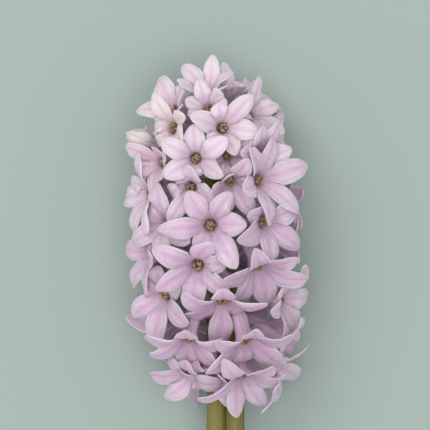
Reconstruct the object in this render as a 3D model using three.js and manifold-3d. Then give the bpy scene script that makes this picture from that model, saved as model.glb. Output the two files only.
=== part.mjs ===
// A cut hyacinth flower lying on its back on a level surface.
// Two green stalks run side by side into one dense head of florets. Each floret is one grown
// piece: a pedicel seated on a stalk, a bell-shaped tube and six tepals that curl back from the
// tube's rim. Millimetres and degrees. +Y runs along the stalks to the tip of the head, +Z is
// up, and the origin is on the surface, under the middle of the flower.
import * as THREE from "three";
import Module from "manifold-3d";

const wasm = await Module();
wasm.setup();

// The head's axis lies this high above the surface.
const AXIS_HEIGHT = 30.5;

// Stalks: fleshy and round, cut square at the foot, thinner and closer together in the head.
const STALK_FOOT = -158;
const STALK_THINS_FROM = -70;
const STALK_TOP = 47;
const STALK_RADIUS = 4.1;
const STALK_TOP_RADIUS = 2.1;
const STALK_MIDDLE = 3.3;
const STALKS_CENTRED_AT = 0.71;
const STALK_SIDES = 16;
const STALK_STEPS = 4;
const SEAT_GAP = 0.3;

// A floret at size 1. Each station of its tube lies some way back from the mouth.
const MOUTH_RADIUS = 4.1;
const CORNER_FLARE = 1.03;
const MOUTH_MARGIN = 0.6;
const WAIST = { back: 5.5, radius: 2.9 };
const OVARY = { back: 11, radius: 3.3 };
const NECK = { back: 14.5, radius: 1.7 };
const THROAT = { back: 5, radius: 1.7 };
const PEDICEL_RADIUS = 1.4;
const PEDICEL_RISE = 5;
const KNEE = 2.4;
const TEPALS = 6;
const TEPAL_LENGTH = 16.5;
const TEPAL_HALF_WIDTH = 5;
const TEPAL_BASE_BEND = 34;
const TEPAL_THICKNESS = 1.2;
const TEPAL_TIP_THINNING = 0.3;
const TEPAL_CUP = 0.16;
const TEPAL_GAP = 0.1;
const BASE_SHARE = 0.6;
const WIDEST_AT = 0.5;
const TIP_FROM = 0.35;
const TIP_SHARPNESS = 0.75;
const TEPAL_ROWS = [0, 0.26, 0.54, 0.8, 1];

// How far a tepal may differ from its floret's rule: shares, degrees and millimetres.
const LENGTH_SPREAD = 0.12;
const WIDTH_SPREAD = 0.12;
const BEND_SPREAD = 18;
const SWAY_SPREAD = 2;
const TWIST_SPREAD = 18;

// Ways for a crowded tepal to give room to its neighbours: degrees more curl, millimetres of
// sway at the tip, and the share of its length that it keeps.
const GIVES = [0, 14, -12, 28, 42, -24, 58, -36];
const SWAYS = [0, 2.5, -2.5, 5, -5];
const SHARES = [1, 0.85, 0.7, 0.55, 0.42];
const SHORTENING_COST = 12;
const CURL_COST = 1 / 14;
const SWAY_COST = 0.4;
const CLEARANCE = 0.3;
const PASSES = 5;
const TOUCH = 1e-3;
const SLAB = { side: 400, depth: 40 };

// The surface presses flat what would reach below it.
const PRESSED_HEIGHT = 0.2;
const PRESS_SOFTNESS = 1.2;
const PRESS_FADES_AT = 20;

// Florets that look up or sideways, the outermost first. at is the middle of the tube's mouth,
// from the head's axis. yaw turns the floret from straight up toward +X, and pitch toward the
// tip. turn spins it about its own axis, and bend is how far the tips curl from that axis.
// seat is where its pedicel leaves the stalk, and tepals gives single ones their own share of
// length, bend and sway.
const PLACED = [
  { at: [-3.4, 3.9, 30], yaw: -3, pitch: -4, turn: -35, size: 1.04, bend: 112,
    tepals: { 0: [0.85, 115, 0], 1: [0.86, 112, 4], 2: [0.84, 118, 0], 3: [1.2, 100, 0],
      4: [0.74, 126, -1], 5: [1.08, 108, 0] } },
  { at: [-9, -13.8, 29], yaw: -8, pitch: -22, turn: 10, size: 1, bend: 108,
    tepals: { 0: [0.85, 100, 0], 1: [0.7, 118, 2], 3: [0.85, 108, -2], 4: [1, 100, 0],
      5: [1.1, 98, -3] } },
  { at: [-9.8, 32.6, 27], yaw: -6, pitch: -6, turn: 0, size: 0.9, bend: 110,
    tepals: { 0: [0.8, 115, 0], 1: [0.95, 96, 0], 3: [0.62, 118, 0] } },
  { at: [-12, 20, 27], yaw: -16, pitch: -14, turn: -30, size: 0.9, bend: 106,
    tepals: { 0: [0.75, 100, 0], 1: [0.7, 106, 0], 2: [0.7, 80, 0], 3: [0.7, 110, 0],
      4: [1.05, 100, 0] } },
  { at: [1.8, -29, 28.5], yaw: 4, pitch: -60, turn: 0, size: 1.1, bend: 112,
    tepals: { 0: [0.6, 120, 0], 3: [1.15, 98, 0] } },
  { at: [-13, -46, 25.5], yaw: -18, pitch: -58, turn: 15, size: 1.1, bend: 112,
    tepals: { 0: [0.8, 100, 0], 2: [1.15, 100, 0] } },
  { at: [12, -46, 25], yaw: 26, pitch: -54, turn: -10, size: 1.1, bend: 108,
    tepals: { 3: [1.15, 100, 0], 4: [1.15, 98, 0], 5: [1.05, 104, 0] } },
  { at: [18, 23.5, 22], yaw: 42, pitch: 0, turn: 10, size: 1.04, bend: 104,
    tepals: { 1: [1.15, 96, 0], 2: [1.15, 98, 0] } },
  { at: [2.2, 46, 25], yaw: 14, pitch: 6, turn: 40, size: 0.92, bend: 102,
    tepals: { 0: [1.15, 86, 0], 2: [0.8, 110, 0], 3: [0.6, 120, 0], 5: [0.6, 100, 0] } },
  { at: [17.5, -14.5, 24.5], yaw: 28, pitch: -50, turn: 30, size: 1.08, bend: 106,
    tepals: { 3: [1.15, 98, 0], 4: [1.1, 98, 0], 5: [1.15, 100, 0] } },
  { at: [-5, 62, 10], yaw: -14, pitch: 52, turn: 14, size: 0.82, bend: 66, seat: STALK_TOP },
  { at: [5.5, 62.5, 3], yaw: 42, pitch: 60, turn: 15, size: 0.74, bend: 68, seat: STALK_TOP },
  { at: [12.5, 59, -3], yaw: 80, pitch: 46, turn: 0, size: 0.78, bend: 80, seat: 45 },
  { at: [14.5, 52.5, 11.5], yaw: 54, pitch: 20, turn: 15, size: 0.82, bend: 100, seat: 42 },
  { at: [21, 43, 5], yaw: 76, pitch: 8, turn: -15, size: 0.84, bend: 108, seat: 36 },
  { at: [17, 34.5, 20.5], yaw: 44, pitch: -4, turn: 30, size: 0.86, bend: 96, seat: 32.5 },
  { at: [5.5, 22.5, 26], yaw: 18, pitch: -30, turn: 15, size: 0.86, bend: 74 },
  { at: [20, 5.5, 22], yaw: 40, pitch: -6, turn: 5, size: 1.05, bend: 108,
    tepals: { 4: [1.15, 100, 0], 5: [1.15, 100, 0] } },
  { at: [-18.5, 55, 12], yaw: -48, pitch: 30, turn: 15, size: 1, bend: 94, seat: 37.5 },
  { at: [-20, 46, 20], yaw: -40, pitch: 4, turn: 45, size: 0.94, bend: 102, seat: 33 },
  { at: [-4, 55, 18.5], yaw: -8, pitch: 30, turn: 30, size: 0.86, bend: 66, seat: 42 },
  { at: [-30, 40, 9], yaw: -68, pitch: 12, turn: 0, size: 0.78, bend: -70, seat: 36.5 },
  { at: [-25, 31, 18], yaw: -46, pitch: -6, turn: 10, size: 0.84, bend: 58 },
  { at: [-30.5, 17.5, 12.5], yaw: -68, pitch: -4, turn: 25, size: 0.98, bend: 108 },
  { at: [-22.5, 4.5, 21], yaw: -36, pitch: 0, turn: 0, size: 0.96, bend: 104 },
  { at: [-28.5, -8.5, 12], yaw: -66, pitch: -4, turn: 38, size: 1.04, bend: 108 },
  { at: [-23.5, -26.5, 17.5], yaw: -42, pitch: -14, turn: 5, size: 1.03, bend: 112 },
  { at: [-23, -40.5, 7], yaw: -70, pitch: -18, turn: 8, size: 0.9, bend: 116 },
  { at: [27.5, -29, 13], yaw: 63, pitch: -14, turn: 15, size: 0.98, bend: 110 },
  { at: [28.5, -47.5, 6], yaw: 68, pitch: -28, turn: -15, size: 0.98, bend: 112,
    tepals: { 0: [0.8, 116, 0], 1: [0.85, 116, 0] } },
  { at: [-12.5, -61, 13], yaw: -42, pitch: -42, turn: 40, size: 0.92, bend: 110 },
  { at: [-4, -60.5, 16], yaw: -6, pitch: -58, turn: 15, size: 0.96, bend: 96,
    tepals: { 0: [1.2, 92, 0], 1: [1.2, 92, 0] } },
  { at: [10.5, -61.5, 18], yaw: 24, pitch: -54, turn: 15, size: 1.02, bend: 100,
    tepals: { 4: [1.15, 96, 0], 5: [1.25, 92, 0] } },
  { at: [24.5, -59.5, 1.5], yaw: 84, pitch: -34, turn: 10, size: 0.96, bend: 104 },
  { at: [4, 34, 22.5], yaw: 8, pitch: 2, turn: 10, size: 0.7, bend: 60, seat: 28 },
];

// Florets underneath stand in staggered rows, from the tip of the head to its foot.
const ROWS = [
  { y: 47, out: 19, pitch: 32, yaws: [127, 180, 233], size: 0.86 },
  { y: 33, out: 24, pitch: 12, yaws: [112, 156, 204, 248], size: 0.94 },
  { y: 14, out: 28, pitch: 2, yaws: [118, 176, 233], size: 1 },
  { y: -5, out: 28, pitch: -4, yaws: [92, 148, 202, 254], size: 1 },
  { y: -21, out: 28, pitch: -8, yaws: [118, 176, 233], size: 1 },
  { y: -42, out: 26, pitch: -18, yaws: [112, 156, 204, 242], size: 0.94 },
  { y: -57, out: 25, pitch: -22, yaws: [154, 204], size: 0.94 },
];
const ROW_BEND = 110;
const ROW_TURN = 23;

const { degToRad, lerp } = THREE.MathUtils;
const ALONG = new THREE.Vector3(0, 1, 0);
const TEPAL_ANGLE = 360 / TEPALS;
const WEDGE = Math.tan(degToRad(TEPAL_ANGLE / 2));

const florets = [...PLACED];
ROWS.forEach(({ y, out, pitch, yaws, size }, r) => {
  yaws.forEach((yaw, i) => {
    const at = [out * Math.sin(degToRad(yaw)), y, out * Math.cos(degToRad(yaw))];
    florets.push({ at, yaw, pitch, turn: ROW_TURN * (r + i), size, bend: ROW_BEND });
  });
});

// A repeatable number from -1 to 1 for one trait of one tepal.
function spread(floret, tepal, trait) {
  const wave = Math.sin(floret * 12.9898 + tepal * 78.233 + trait * 37.719) * 43758.5453;
  return 2 * (wave - Math.floor(wave)) - 1;
}

// A point moved along some directions, each by its own length.
function moved(point, ...moves) {
  const out = point.clone();
  for (const [direction, length] of moves) out.addScaledVector(direction, length);
  return out;
}

// The point where the surface lets it be: heights near zero are squeezed to just above it.
function pressed(point) {
  const u = (point.z - PRESSED_HEIGHT) / PRESS_SOFTNESS;
  const lifted = u > PRESS_FADES_AT ? u : Math.log1p(Math.exp(u));
  return new THREE.Vector3(point.x, point.y, PRESSED_HEIGHT + PRESS_SOFTNESS * lifted);
}

// A floret's own frame: the middle of its mouth, the way it looks, and two ways across it.
for (const floret of florets) {
  const [yaw, pitch] = [degToRad(floret.yaw), degToRad(floret.pitch)];
  floret.axis = new THREE.Vector3(
    Math.sin(yaw) * Math.cos(pitch), Math.sin(pitch), Math.cos(yaw) * Math.cos(pitch));
  floret.up = moved(ALONG, [floret.axis, -ALONG.dot(floret.axis)]).normalize();
  floret.side = floret.up.clone().cross(floret.axis);
  floret.mouth = new THREE.Vector3(floret.at[0], floret.at[1], floret.at[2] + AXIS_HEIGHT);
  floret.number = florets.indexOf(floret) + 1;
}

// The direction out from a floret's axis at an angle, clockwise as one looks into its mouth.
function spoke(floret, angle) {
  const out = floret.up.clone().multiplyScalar(Math.cos(degToRad(angle)));
  return out.addScaledVector(floret.side, Math.sin(degToRad(angle)));
}

// One tepal's rows of points. Its middle line leaves the rim and curls back in an arc, swaying
// to one side with the square of the way along. The edges twist about that line and rise a
// little, and the thickness is set off from it on both faces.
function tepalRows({ floret, k }, way, grow) {
  const { size, turn, mouth, axis, number } = floret;
  const [share, curl, sway] = (floret.tepals && floret.tepals[k]) || [1, floret.bend, 0];
  const length = TEPAL_LENGTH * size * share * way.share * (1 + LENGTH_SPREAD * spread(number, k, 1));
  const from = degToRad(TEPAL_BASE_BEND);
  const arc = degToRad(curl + way.give + BEND_SPREAD * spread(number, k, 2)) - from;
  const swing = sway + way.sway + SWAY_SPREAD * spread(number, k, 3);
  const twist = degToRad(TWIST_SPREAD * spread(number, k, 4));
  const angle = turn + TEPAL_ANGLE * k;
  const out = spoke(floret, angle);
  const across = spoke(floret, angle + 90);
  const rim = MOUTH_RADIUS * size;
  const widest = TEPAL_HALF_WIDTH * size * (1 + WIDTH_SPREAD * spread(number, k, 5));
  const rows = TEPAL_ROWS.map((s) => {
    const bend = from + arc * s;
    const forward = (length * (Math.sin(bend) - Math.sin(from))) / arc;
    const outward = rim + (length * (Math.cos(from) - Math.cos(bend))) / arc;
    const middle = moved(mouth, [axis, forward], [out, outward], [across, swing * s * s]);
    const heading = moved(out.clone().multiplyScalar(Math.sin(bend)), [axis, Math.cos(bend)],
      [across, (2 * swing * s) / length]).normalize();
    const flat = moved(across, [heading, -across.dot(heading)]).normalize();
    const edge = flat.applyAxisAngle(heading, -twist * s);
    const normal = edge.clone().cross(heading);
    const bulge = lerp(BASE_SHARE, 1, Math.sin((Math.PI / 2) * Math.min(1, s / WIDEST_AT)));
    const toTip = Math.max(0, (s - TIP_FROM) / (1 - TIP_FROM));
    const taper = (1 - toTip ** 2) ** TIP_SHARPNESS;
    const half = Math.min(widest * bulge * taper, outward * WEDGE - TEPAL_GAP) + grow;
    const thick = (TEPAL_THICKNESS * (1 - TEPAL_TIP_THINNING * s)) / 2 + grow;
    return {
      left: pressed(moved(middle, [edge, -half], [normal, TEPAL_CUP * half])),
      right: pressed(moved(middle, [edge, half], [normal, TEPAL_CUP * half])),
      upper: moved(pressed(middle), [normal, thick]),
      lower: moved(pressed(middle), [normal, -thick]),
      tip: pressed(moved(middle, [heading, grow])),
    };
  });
  // Neighbouring tepals share the corner between them on the rim.
  const corner = (offset) => moved(mouth, [spoke(floret, angle + offset), rim * CORNER_FLARE]);
  rows[0].left = pressed(corner(-TEPAL_ANGLE / 2));
  rows[0].right = pressed(corner(TEPAL_ANGLE / 2));
  return rows;
}

// The triangles of a tepal. Both of its faces are split along the same lines.
function tepalFaces(rows) {
  const faces = [];
  const last = rows[rows.length - 2];
  const { tip } = rows[rows.length - 1];
  for (let i = 0; i + 2 < rows.length; i++) {
    const [a, b] = [rows[i], rows[i + 1]];
    faces.push([a.left, a.upper, b.upper], [a.left, b.upper, b.left]);
    faces.push([a.upper, a.right, b.right], [a.upper, b.right, b.upper]);
    faces.push([a.left, b.lower, a.lower], [a.left, b.left, b.lower]);
    faces.push([a.lower, b.right, a.right], [a.lower, b.lower, b.right]);
  }
  faces.push([last.left, last.upper, tip], [last.upper, last.right, tip]);
  faces.push([last.lower, last.left, tip], [last.right, last.lower, tip]);
  return faces;
}

// A closed solid from triangles whose corners are points. Corners in one place become one.
function solidOf(faces) {
  const numbers = new Map();
  const vertProperties = [];
  const triVerts = faces.flat().map((corner) => {
    const place = corner.toArray();
    const key = place.map((v) => v.toFixed(4)).join();
    if (!numbers.has(key)) {
      numbers.set(key, numbers.size);
      vertProperties.push(...place);
    }
    return numbers.get(key);
  });
  return new wasm.Manifold(new wasm.Mesh({
    numProp: 3,
    vertProperties: new Float32Array(vertProperties),
    triVerts: new Uint32Array(triVerts),
  }));
}

// A ring of points about a middle, square to a direction, turned with the floret.
function ringAt(floret, middle, along, radius) {
  const tilt = new THREE.Quaternion().setFromUnitVectors(floret.axis, along);
  return Array.from({ length: TEPALS }, (_, j) => {
    const out = spoke(floret, floret.turn + TEPAL_ANGLE * j).applyQuaternion(tilt);
    return moved(middle, [out, radius]);
  });
}

// The triangles between two rings, and those that close a ring.
function band(from, to) {
  return from.flatMap((corner, j) => {
    const next = (j + 1) % from.length;
    return [[corner, to[j], to[next]], [corner, to[next], from[next]]];
  });
}

function lid(ring) {
  return ring.slice(2).map((corner, j) => [ring[0], ring[j + 1], corner]);
}

// Where a stalk runs, and how thick it is there.
function stalkAt(side, y) {
  const inHead = Math.max(0, (y - STALK_THINS_FROM) / (STALK_TOP - STALK_THINS_FROM));
  const radius = lerp(STALK_RADIUS, STALK_TOP_RADIUS, inHead);
  const middle = lerp(STALK_MIDDLE, 0, Math.min(1, inHead / STALKS_CENTRED_AT));
  return { radius, x: middle + side * (radius + SEAT_GAP / 2) };
}

function stalkSolid(side) {
  const heights = [STALK_FOOT];
  for (let i = 0; i <= STALK_STEPS; i++) {
    heights.push(lerp(STALK_THINS_FROM, STALK_TOP, i / STALK_STEPS));
  }
  const rings = heights.map((y) => {
    const { radius, x } = stalkAt(side, y);
    return Array.from({ length: STALK_SIDES }, (_, j) => {
      const angle = (2 * Math.PI * j) / STALK_SIDES;
      const [right, rise] = [radius * Math.cos(angle), radius * Math.sin(angle)];
      return new THREE.Vector3(x + right, y, AXIS_HEIGHT + rise);
    });
  });
  const top = rings[rings.length - 1];
  const faces = [...lid(rings[0]), ...lid([...top].reverse())];
  rings.slice(1).forEach((ring, i) => faces.push(...band(rings[i], ring)));
  return solidOf(faces);
}

// Rings from the pedicel's seat on the nearer stalk, square to it, to the tube's waist. A
// floret at the very tip is seated on the stalk's end.
function stemRings(floret, grow) {
  const { size, mouth, axis } = floret;
  const back = (length) => moved(mouth, [axis, -length * size]);
  const neck = back(NECK.back);
  const onEnd = floret.seat === STALK_TOP;
  const rise = PEDICEL_RISE * size * Math.cos(degToRad(floret.pitch));
  const seatY = floret.seat ?? neck.y - rise;
  const stalk = stalkAt(floret.at[0] < STALK_MIDDLE / 2 ? -1 : 1, seatY);
  const middle = new THREE.Vector3(stalk.x, seatY, AXIS_HEIGHT);
  const out = onEnd ? ALONG : new THREE.Vector3(neck.x - stalk.x, 0, neck.z - AXIS_HEIGHT).normalize();
  const reach = (onEnd ? 0 : stalk.radius) + SEAT_GAP;
  const knee = moved(middle, [out, reach + KNEE]);
  const rising = neck.clone().sub(knee).normalize();
  const between = (a, b) => a.clone().add(b).normalize();
  return [
    ringAt(floret, moved(middle, [out, reach - grow]), out, PEDICEL_RADIUS + grow),
    ringAt(floret, knee, between(out, rising), PEDICEL_RADIUS + grow),
    ringAt(floret, neck, between(rising, axis), NECK.radius * size + grow),
    ringAt(floret, back(OVARY.back), axis, OVARY.radius * size + grow),
    ringAt(floret, back(WAIST.back), axis, WAIST.radius * size + grow),
  ];
}

// The pedicel and tube alone, closed at the mouth: the room that other florets leave them.
function stemSolid(floret) {
  const rings = stemRings(floret, CLEARANCE / 2);
  rings.push(ringAt(floret, floret.mouth, floret.axis, MOUTH_RADIUS * floret.size + MOUTH_MARGIN));
  const faces = lid(rings[0]);
  rings.slice(1).forEach((ring, i) => faces.push(...band(rings[i], ring)));
  faces.push(...lid([...rings[rings.length - 1]].reverse()));
  return solidOf(faces);
}

// A whole floret: the outer wall from the seat to the rim, the throat inside it, and the tepals
// that grow from the rim between the two.
function floretSolid(floret, grow) {
  const rings = stemRings(floret, grow);
  const waist = rings[rings.length - 1];
  const depth = moved(floret.mouth, [floret.axis, -THROAT.back * floret.size]);
  const throat = ringAt(floret, depth, floret.axis, THROAT.radius * floret.size);
  const faces = [...lid(rings[0]), ...lid([...throat].reverse())];
  rings.slice(1).forEach((ring, i) => faces.push(...band(rings[i], ring)));
  floret.grown.forEach((tepal, j) => {
    const rows = tepalRows(tepal, tepal.way, grow);
    const { left, right, upper, lower } = rows[0];
    const next = (j + 1) % TEPALS;
    faces.push([waist[j], lower, right], [waist[j], left, lower], [waist[j], right, waist[next]]);
    faces.push([throat[j], right, upper], [throat[j], upper, left], [throat[j], throat[next], right]);
    faces.push(...tepalFaces(rows));
  });
  return solidOf(faces);
}

// One tepal closed at its base.
function tepalSolid(tepal, way, grow) {
  const rows = tepalRows(tepal, way, grow);
  const { left, right, upper, lower } = rows[0];
  return solidOf([...tepalFaces(rows), [left, lower, right], [left, right, upper]]);
}

function shared(solid, other) {
  const [a, b] = [solid.boundingBox(), other.box];
  const apart = [0, 1, 2].some((i) => a.min[i] > b.max[i] || b.min[i] > a.max[i]);
  return apart ? 0 : solid.intersect(other.solid).volume();
}

// How much of a tepal would lie inside its neighbours, or closer to them than the clearance.
function crossing(tepal, way, most) {
  const grown = tepalSolid(tepal, way, CLEARANCE);
  const bare = tepalSolid(tepal, way, 0);
  let volume = 0;
  for (const other of obstacles) {
    if (other === tepal || !other.solid || (other.isStem && other.floret === tepal.floret)) continue;
    volume += shared(other.floret === tepal.floret ? bare : grown, other);
    if (volume > most) break;
  }
  return volume;
}

// The mildest way that leaves a tepal clear, or else the one that crosses least.
function settle(tepal) {
  let least = Infinity;
  for (const way of WAYS) {
    const volume = crossing(tepal, way, least);
    if (volume < least) {
      least = volume;
      tepal.way = way;
    }
    if (least < TOUCH) break;
  }
  tepal.solid = tepalSolid(tepal, tepal.way, 0);
  tepal.box = tepal.solid.boundingBox();
}

const WAYS = SHARES.flatMap((share) => GIVES.flatMap((give) => SWAYS.map((sway) => {
  const cost = SHORTENING_COST * (1 - share) + CURL_COST * Math.abs(give) + SWAY_COST * Math.abs(sway);
  return { share, give, sway, cost };
}))).sort((a, b) => a.cost - b.cost);

const stalks = [["stalk_left", -1], ["stalk_right", 1]].map(([name, side]) => (
  { name, solid: stalkSolid(side) }));
const obstacles = florets.map((floret) => (
  { floret, isStem: true, solid: stemSolid(floret) }));
obstacles.push(...stalks);
for (const obstacle of obstacles) obstacle.box = obstacle.solid.boundingBox();
for (const floret of florets) {
  floret.grown = Array.from({ length: TEPALS }, (_, k) => ({ floret, k }));
  obstacles.push(...floret.grown);
}

// Every tepal settles once, and then those that are still crowded settle again, in turns.
const tepals = florets.flatMap((floret) => floret.grown);
tepals.forEach(settle);
for (let pass = 1; pass < PASSES; pass++) {
  for (const tepal of tepals) {
    if (crossing(tepal, tepal.way, TOUCH) > TOUCH) settle(tepal);
  }
}

// The surface that the flower lies on, as a solid whose top is at zero.
function surfaceSolid() {
  const slab = new THREE.BoxGeometry(SLAB.side, SLAB.side, SLAB.depth).toNonIndexed();
  const places = slab.translate(0, 0, -SLAB.depth / 2).getAttribute("position");
  const corners = Array.from({ length: places.count }, (_, i) => (
    new THREE.Vector3().fromBufferAttribute(places, i)));
  const faces = corners.flatMap((corner, i) => (i % 3 ? [] : [corners.slice(i, i + 3)]));
  return solidOf(faces);
}

function largest(solid) {
  return solid.decompose().reduce((a, b) => (a.volume() > b.volume() ? a : b));
}

// What still crosses an earlier floret is cut clear of it, the surface trims the lowest petals
// flat, and loose scraps are dropped.
const surface = surfaceSolid();
const finished = [];
for (const floret of florets) {
  let solid = floretSolid(floret, 0);
  for (const other of finished) {
    if (shared(solid, other) > 0) {
      solid = solid.subtract(floretSolid(other.floret, CLEARANCE));
    }
  }
  solid = largest(solid.subtract(surface));
  finished.push({ floret, solid, box: solid.boundingBox() });
}

function meshOf(name, solid, material) {
  const { numProp, vertProperties, triVerts } = solid.getMesh();
  const corners = new THREE.InterleavedBuffer(vertProperties, numProp);
  const geometry = new THREE.BufferGeometry();
  geometry.setAttribute("position", new THREE.InterleavedBufferAttribute(corners, 3, 0));
  geometry.setIndex(new THREE.BufferAttribute(triVerts, 1));
  const mesh = new THREE.Mesh(geometry, material);
  mesh.name = name;
  return mesh;
}

// Petals are palest at the tip of the head, and stalks are one olive green.
const PALE = new THREE.Color(0xd7c3cf);
const MAUVE = new THREE.Color(0xb8a0b6);
const GREEN = new THREE.Color(0x7e7a4b);
const STALK_ROUGHNESS = 0.5;
const PETAL_ROUGHNESS = 0.55;
function finish(color, roughness) {
  return new THREE.MeshStandardMaterial({ color, roughness, metalness: 0 });
}

const group = new THREE.Group();
stalks.forEach(({ name, solid }) => group.add(meshOf(name, solid, finish(GREEN, STALK_ROUGHNESS))));
finished.forEach(({ floret, solid }) => {
  const name = "floret_" + String(floret.number).padStart(2, "0");
  const paleness = THREE.MathUtils.smoothstep(floret.mouth.y, 0, STALK_TOP);
  group.add(meshOf(name, solid, finish(MAUVE.clone().lerp(PALE, paleness), PETAL_ROUGHNESS)));
});

// The origin goes under the middle of the flower.
const middle = new THREE.Box3().setFromObject(group).getCenter(new THREE.Vector3());
group.position.set(-middle.x, -middle.y, 0);

export default group;
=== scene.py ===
"""A cut hyacinth flower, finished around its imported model.

Two green stalks carry one dense head of florets. Until put_mesh turns them into metres, lengths
are millimetres from the surface below the middle of the head: +Y runs to the tip of the head
and +Z is up.
"""
import math

import bpy
import numpy as np
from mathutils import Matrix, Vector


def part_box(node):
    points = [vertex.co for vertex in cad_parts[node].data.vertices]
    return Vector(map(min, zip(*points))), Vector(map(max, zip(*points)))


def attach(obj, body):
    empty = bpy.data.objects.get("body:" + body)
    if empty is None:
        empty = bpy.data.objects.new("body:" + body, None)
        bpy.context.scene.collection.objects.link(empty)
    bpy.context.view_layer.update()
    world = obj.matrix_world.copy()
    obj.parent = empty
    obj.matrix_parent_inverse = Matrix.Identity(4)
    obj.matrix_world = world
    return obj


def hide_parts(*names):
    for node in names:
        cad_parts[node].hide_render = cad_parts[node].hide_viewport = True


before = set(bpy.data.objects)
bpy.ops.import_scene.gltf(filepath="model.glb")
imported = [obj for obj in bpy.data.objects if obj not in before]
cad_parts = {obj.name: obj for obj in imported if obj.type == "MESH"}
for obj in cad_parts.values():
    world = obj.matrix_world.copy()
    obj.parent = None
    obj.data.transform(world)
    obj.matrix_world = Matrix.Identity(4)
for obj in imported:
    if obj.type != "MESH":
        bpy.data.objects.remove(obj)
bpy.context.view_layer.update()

# ---------------------------------------------------------------------------- the two stalks
# Two round, fleshy stalks stand side by side under the one head. They are cut square at the
# foot, where the pale inside shows, and in the head they grow thinner and closer together.
MM = 0.001
AXIS_HEIGHT = 30.5
STALK_FOOT = -158.0
STALK_THINS_FROM = -70.0
STALK_TOP = 47.0
STALK_RADIUS = 4.1
STALK_TOP_RADIUS = 2.1
STALK_MIDDLE = 3.3
STALKS_CENTRED_AT = 0.71
SEAT_GAP = 0.3
STALK_COLUMNS = 64
STALK_ROWS = 230
CUT_BEVEL = 0.35
CUT_SHARES = (0.0, 0.3, 0.62, 0.86, 1 - CUT_BEVEL / STALK_RADIUS)
CUT_DISH = 0.25
CUT_PALE_TO = 0.9
END_STEPS = (0.6, 0.2)
END_SHARES = (0.7, 0.0)
CONTACT_SWELL = 0.28
CONTACT_WIDTH = 0.5
SKIN_INSET = 0.02
SWELL = 0.6
LONG_SWELL, LONG_SWELL_LENGTH = 0.025, 17.0
SHORT_SWELL, SHORT_SWELL_LENGTH = 0.015, 5.3
BROAD_RIBS, BROAD_RIB_DEPTH = 9, 0.012
FINE_RIBS, FINE_RIB_DEPTH = 17, 0.006
# Each stalk's green is painted lighter on the side facing up and to the left and darker on the far
# side: painted light and shade.
PAINTED_LIGHT_DEPTH = 0.1
PAINTED_LIGHT_FACES = 2.2
WELD = 1e-4

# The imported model's middle is its origin, so the stalks' box says how far all was moved.
foot_corner, outer_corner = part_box("stalk_left")[0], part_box("stalk_right")[1]
SHIFT = np.array([
    outer_corner.x / MM - STALK_MIDDLE - 2 * STALK_RADIUS - SEAT_GAP / 2,
    foot_corner.y / MM - STALK_FOOT,
    0.0,
])


def lerp(a, b, t):
    """The value a share t of the way from a to b."""
    return a + (b - a) * t


def smooth(low, high, x):
    """Rises from 0 at low to 1 at high along t squared times (3 - 2t)."""
    t = np.clip((x - low) / (high - low), 0.0, 1.0)
    return t * t * (3 - 2 * t)


def unit(vectors):
    """The same directions with length 1."""
    return vectors / np.linalg.norm(vectors, axis=-1, keepdims=True)


def stalk_at(side, y):
    """A stalk's radius and the x of its middle: level below the head, then even thinning."""
    in_head = np.maximum(0.0, (y - STALK_THINS_FROM) / (STALK_TOP - STALK_THINS_FROM))
    radius = lerp(STALK_RADIUS, STALK_TOP_RADIUS, np.minimum(in_head, 1.0))
    middle = lerp(STALK_MIDDLE, 0.0, np.minimum(1.0, in_head / STALKS_CENTRED_AT))
    return radius, middle + side * (radius + SEAT_GAP / 2)


def cells(rows, columns, ring=False):
    """Two triangles for each cell of a grid numbered row by row. A ring joins its last column
    to its first."""
    i, j = np.meshgrid(np.arange(rows - 1), np.arange(columns - (not ring)), indexing="ij")
    after = (j + 1) % columns
    a, b = i * columns + j, (i + 1) * columns + j
    c, d = (i + 1) * columns + after, i * columns + after
    both = [np.stack([a, b, c], -1), np.stack([a, c, d], -1)]
    return np.concatenate([part.reshape(-1, 3) for part in both])


def put_mesh(name, points, triangles, material, uv=None, tint=None):
    """A riding piece made of triangles. Points closer than WELD become one, and triangles that
    lose a corner by that are left out."""
    _, first, number = np.unique(
        np.round(points / WELD).astype(np.int64), axis=0, return_index=True, return_inverse=True)
    welded = number.reshape(-1)[triangles]
    whole = (welded != np.roll(welded, 1, axis=1)).all(axis=1)
    mesh = bpy.data.meshes.new(name)
    mesh.from_pydata(((points[first] + SHIFT) * MM).tolist(), [], welded[whole].tolist())
    corners = triangles[whole].reshape(-1)
    if uv is not None:
        layer = mesh.uv_layers.new(name="UVMap")
        layer.data.foreach_set("uv", uv[corners].astype(np.float32).reshape(-1))
    if tint is not None:
        colours = mesh.color_attributes.new("tint", "FLOAT_COLOR", "CORNER")
        opaque = np.concatenate([tint[corners], np.ones((len(corners), 1))], axis=1)
        colours.data.foreach_set("color", opaque.astype(np.float32).reshape(-1))
    mesh.shade_smooth()
    mesh.materials.append(material)
    piece = bpy.data.objects.new(name, mesh)
    bpy.context.scene.collection.objects.link(piece)
    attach(piece, "root")
    return piece


def srgb(red, green, blue):
    """A screen colour of 0 to 255 as linear light."""
    c = np.array([red, green, blue]) / 255.0
    return np.where(c <= 0.04045, c / 12.92, ((c + 0.055) / 1.055) ** 2.4)


def rgba(colour):
    """A linear colour as a shader socket takes it."""
    return (*[float(c) for c in colour], 1.0)


def new_material(name):
    """An empty finish: the material's node tree and its main shader."""
    material = bpy.data.materials.new(name)
    material.use_nodes = True
    return material, material.node_tree, material.node_tree.nodes["Principled BSDF"]


def add(tree, kind, sockets=None, **settings):
    """A node with its settings made and its sockets filled or linked."""
    made = tree.nodes.new(kind)
    for key, value in settings.items():
        setattr(made, key, value)
    fill(tree, made, sockets or {})
    return made


def fill(tree, node, sockets):
    """Gives each named socket a value, or links an output to it."""
    for key, value in sockets.items():
        if isinstance(value, bpy.types.NodeSocket):
            tree.links.new(value, node.inputs[key])
        else:
            node.inputs[key].default_value = value


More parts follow.
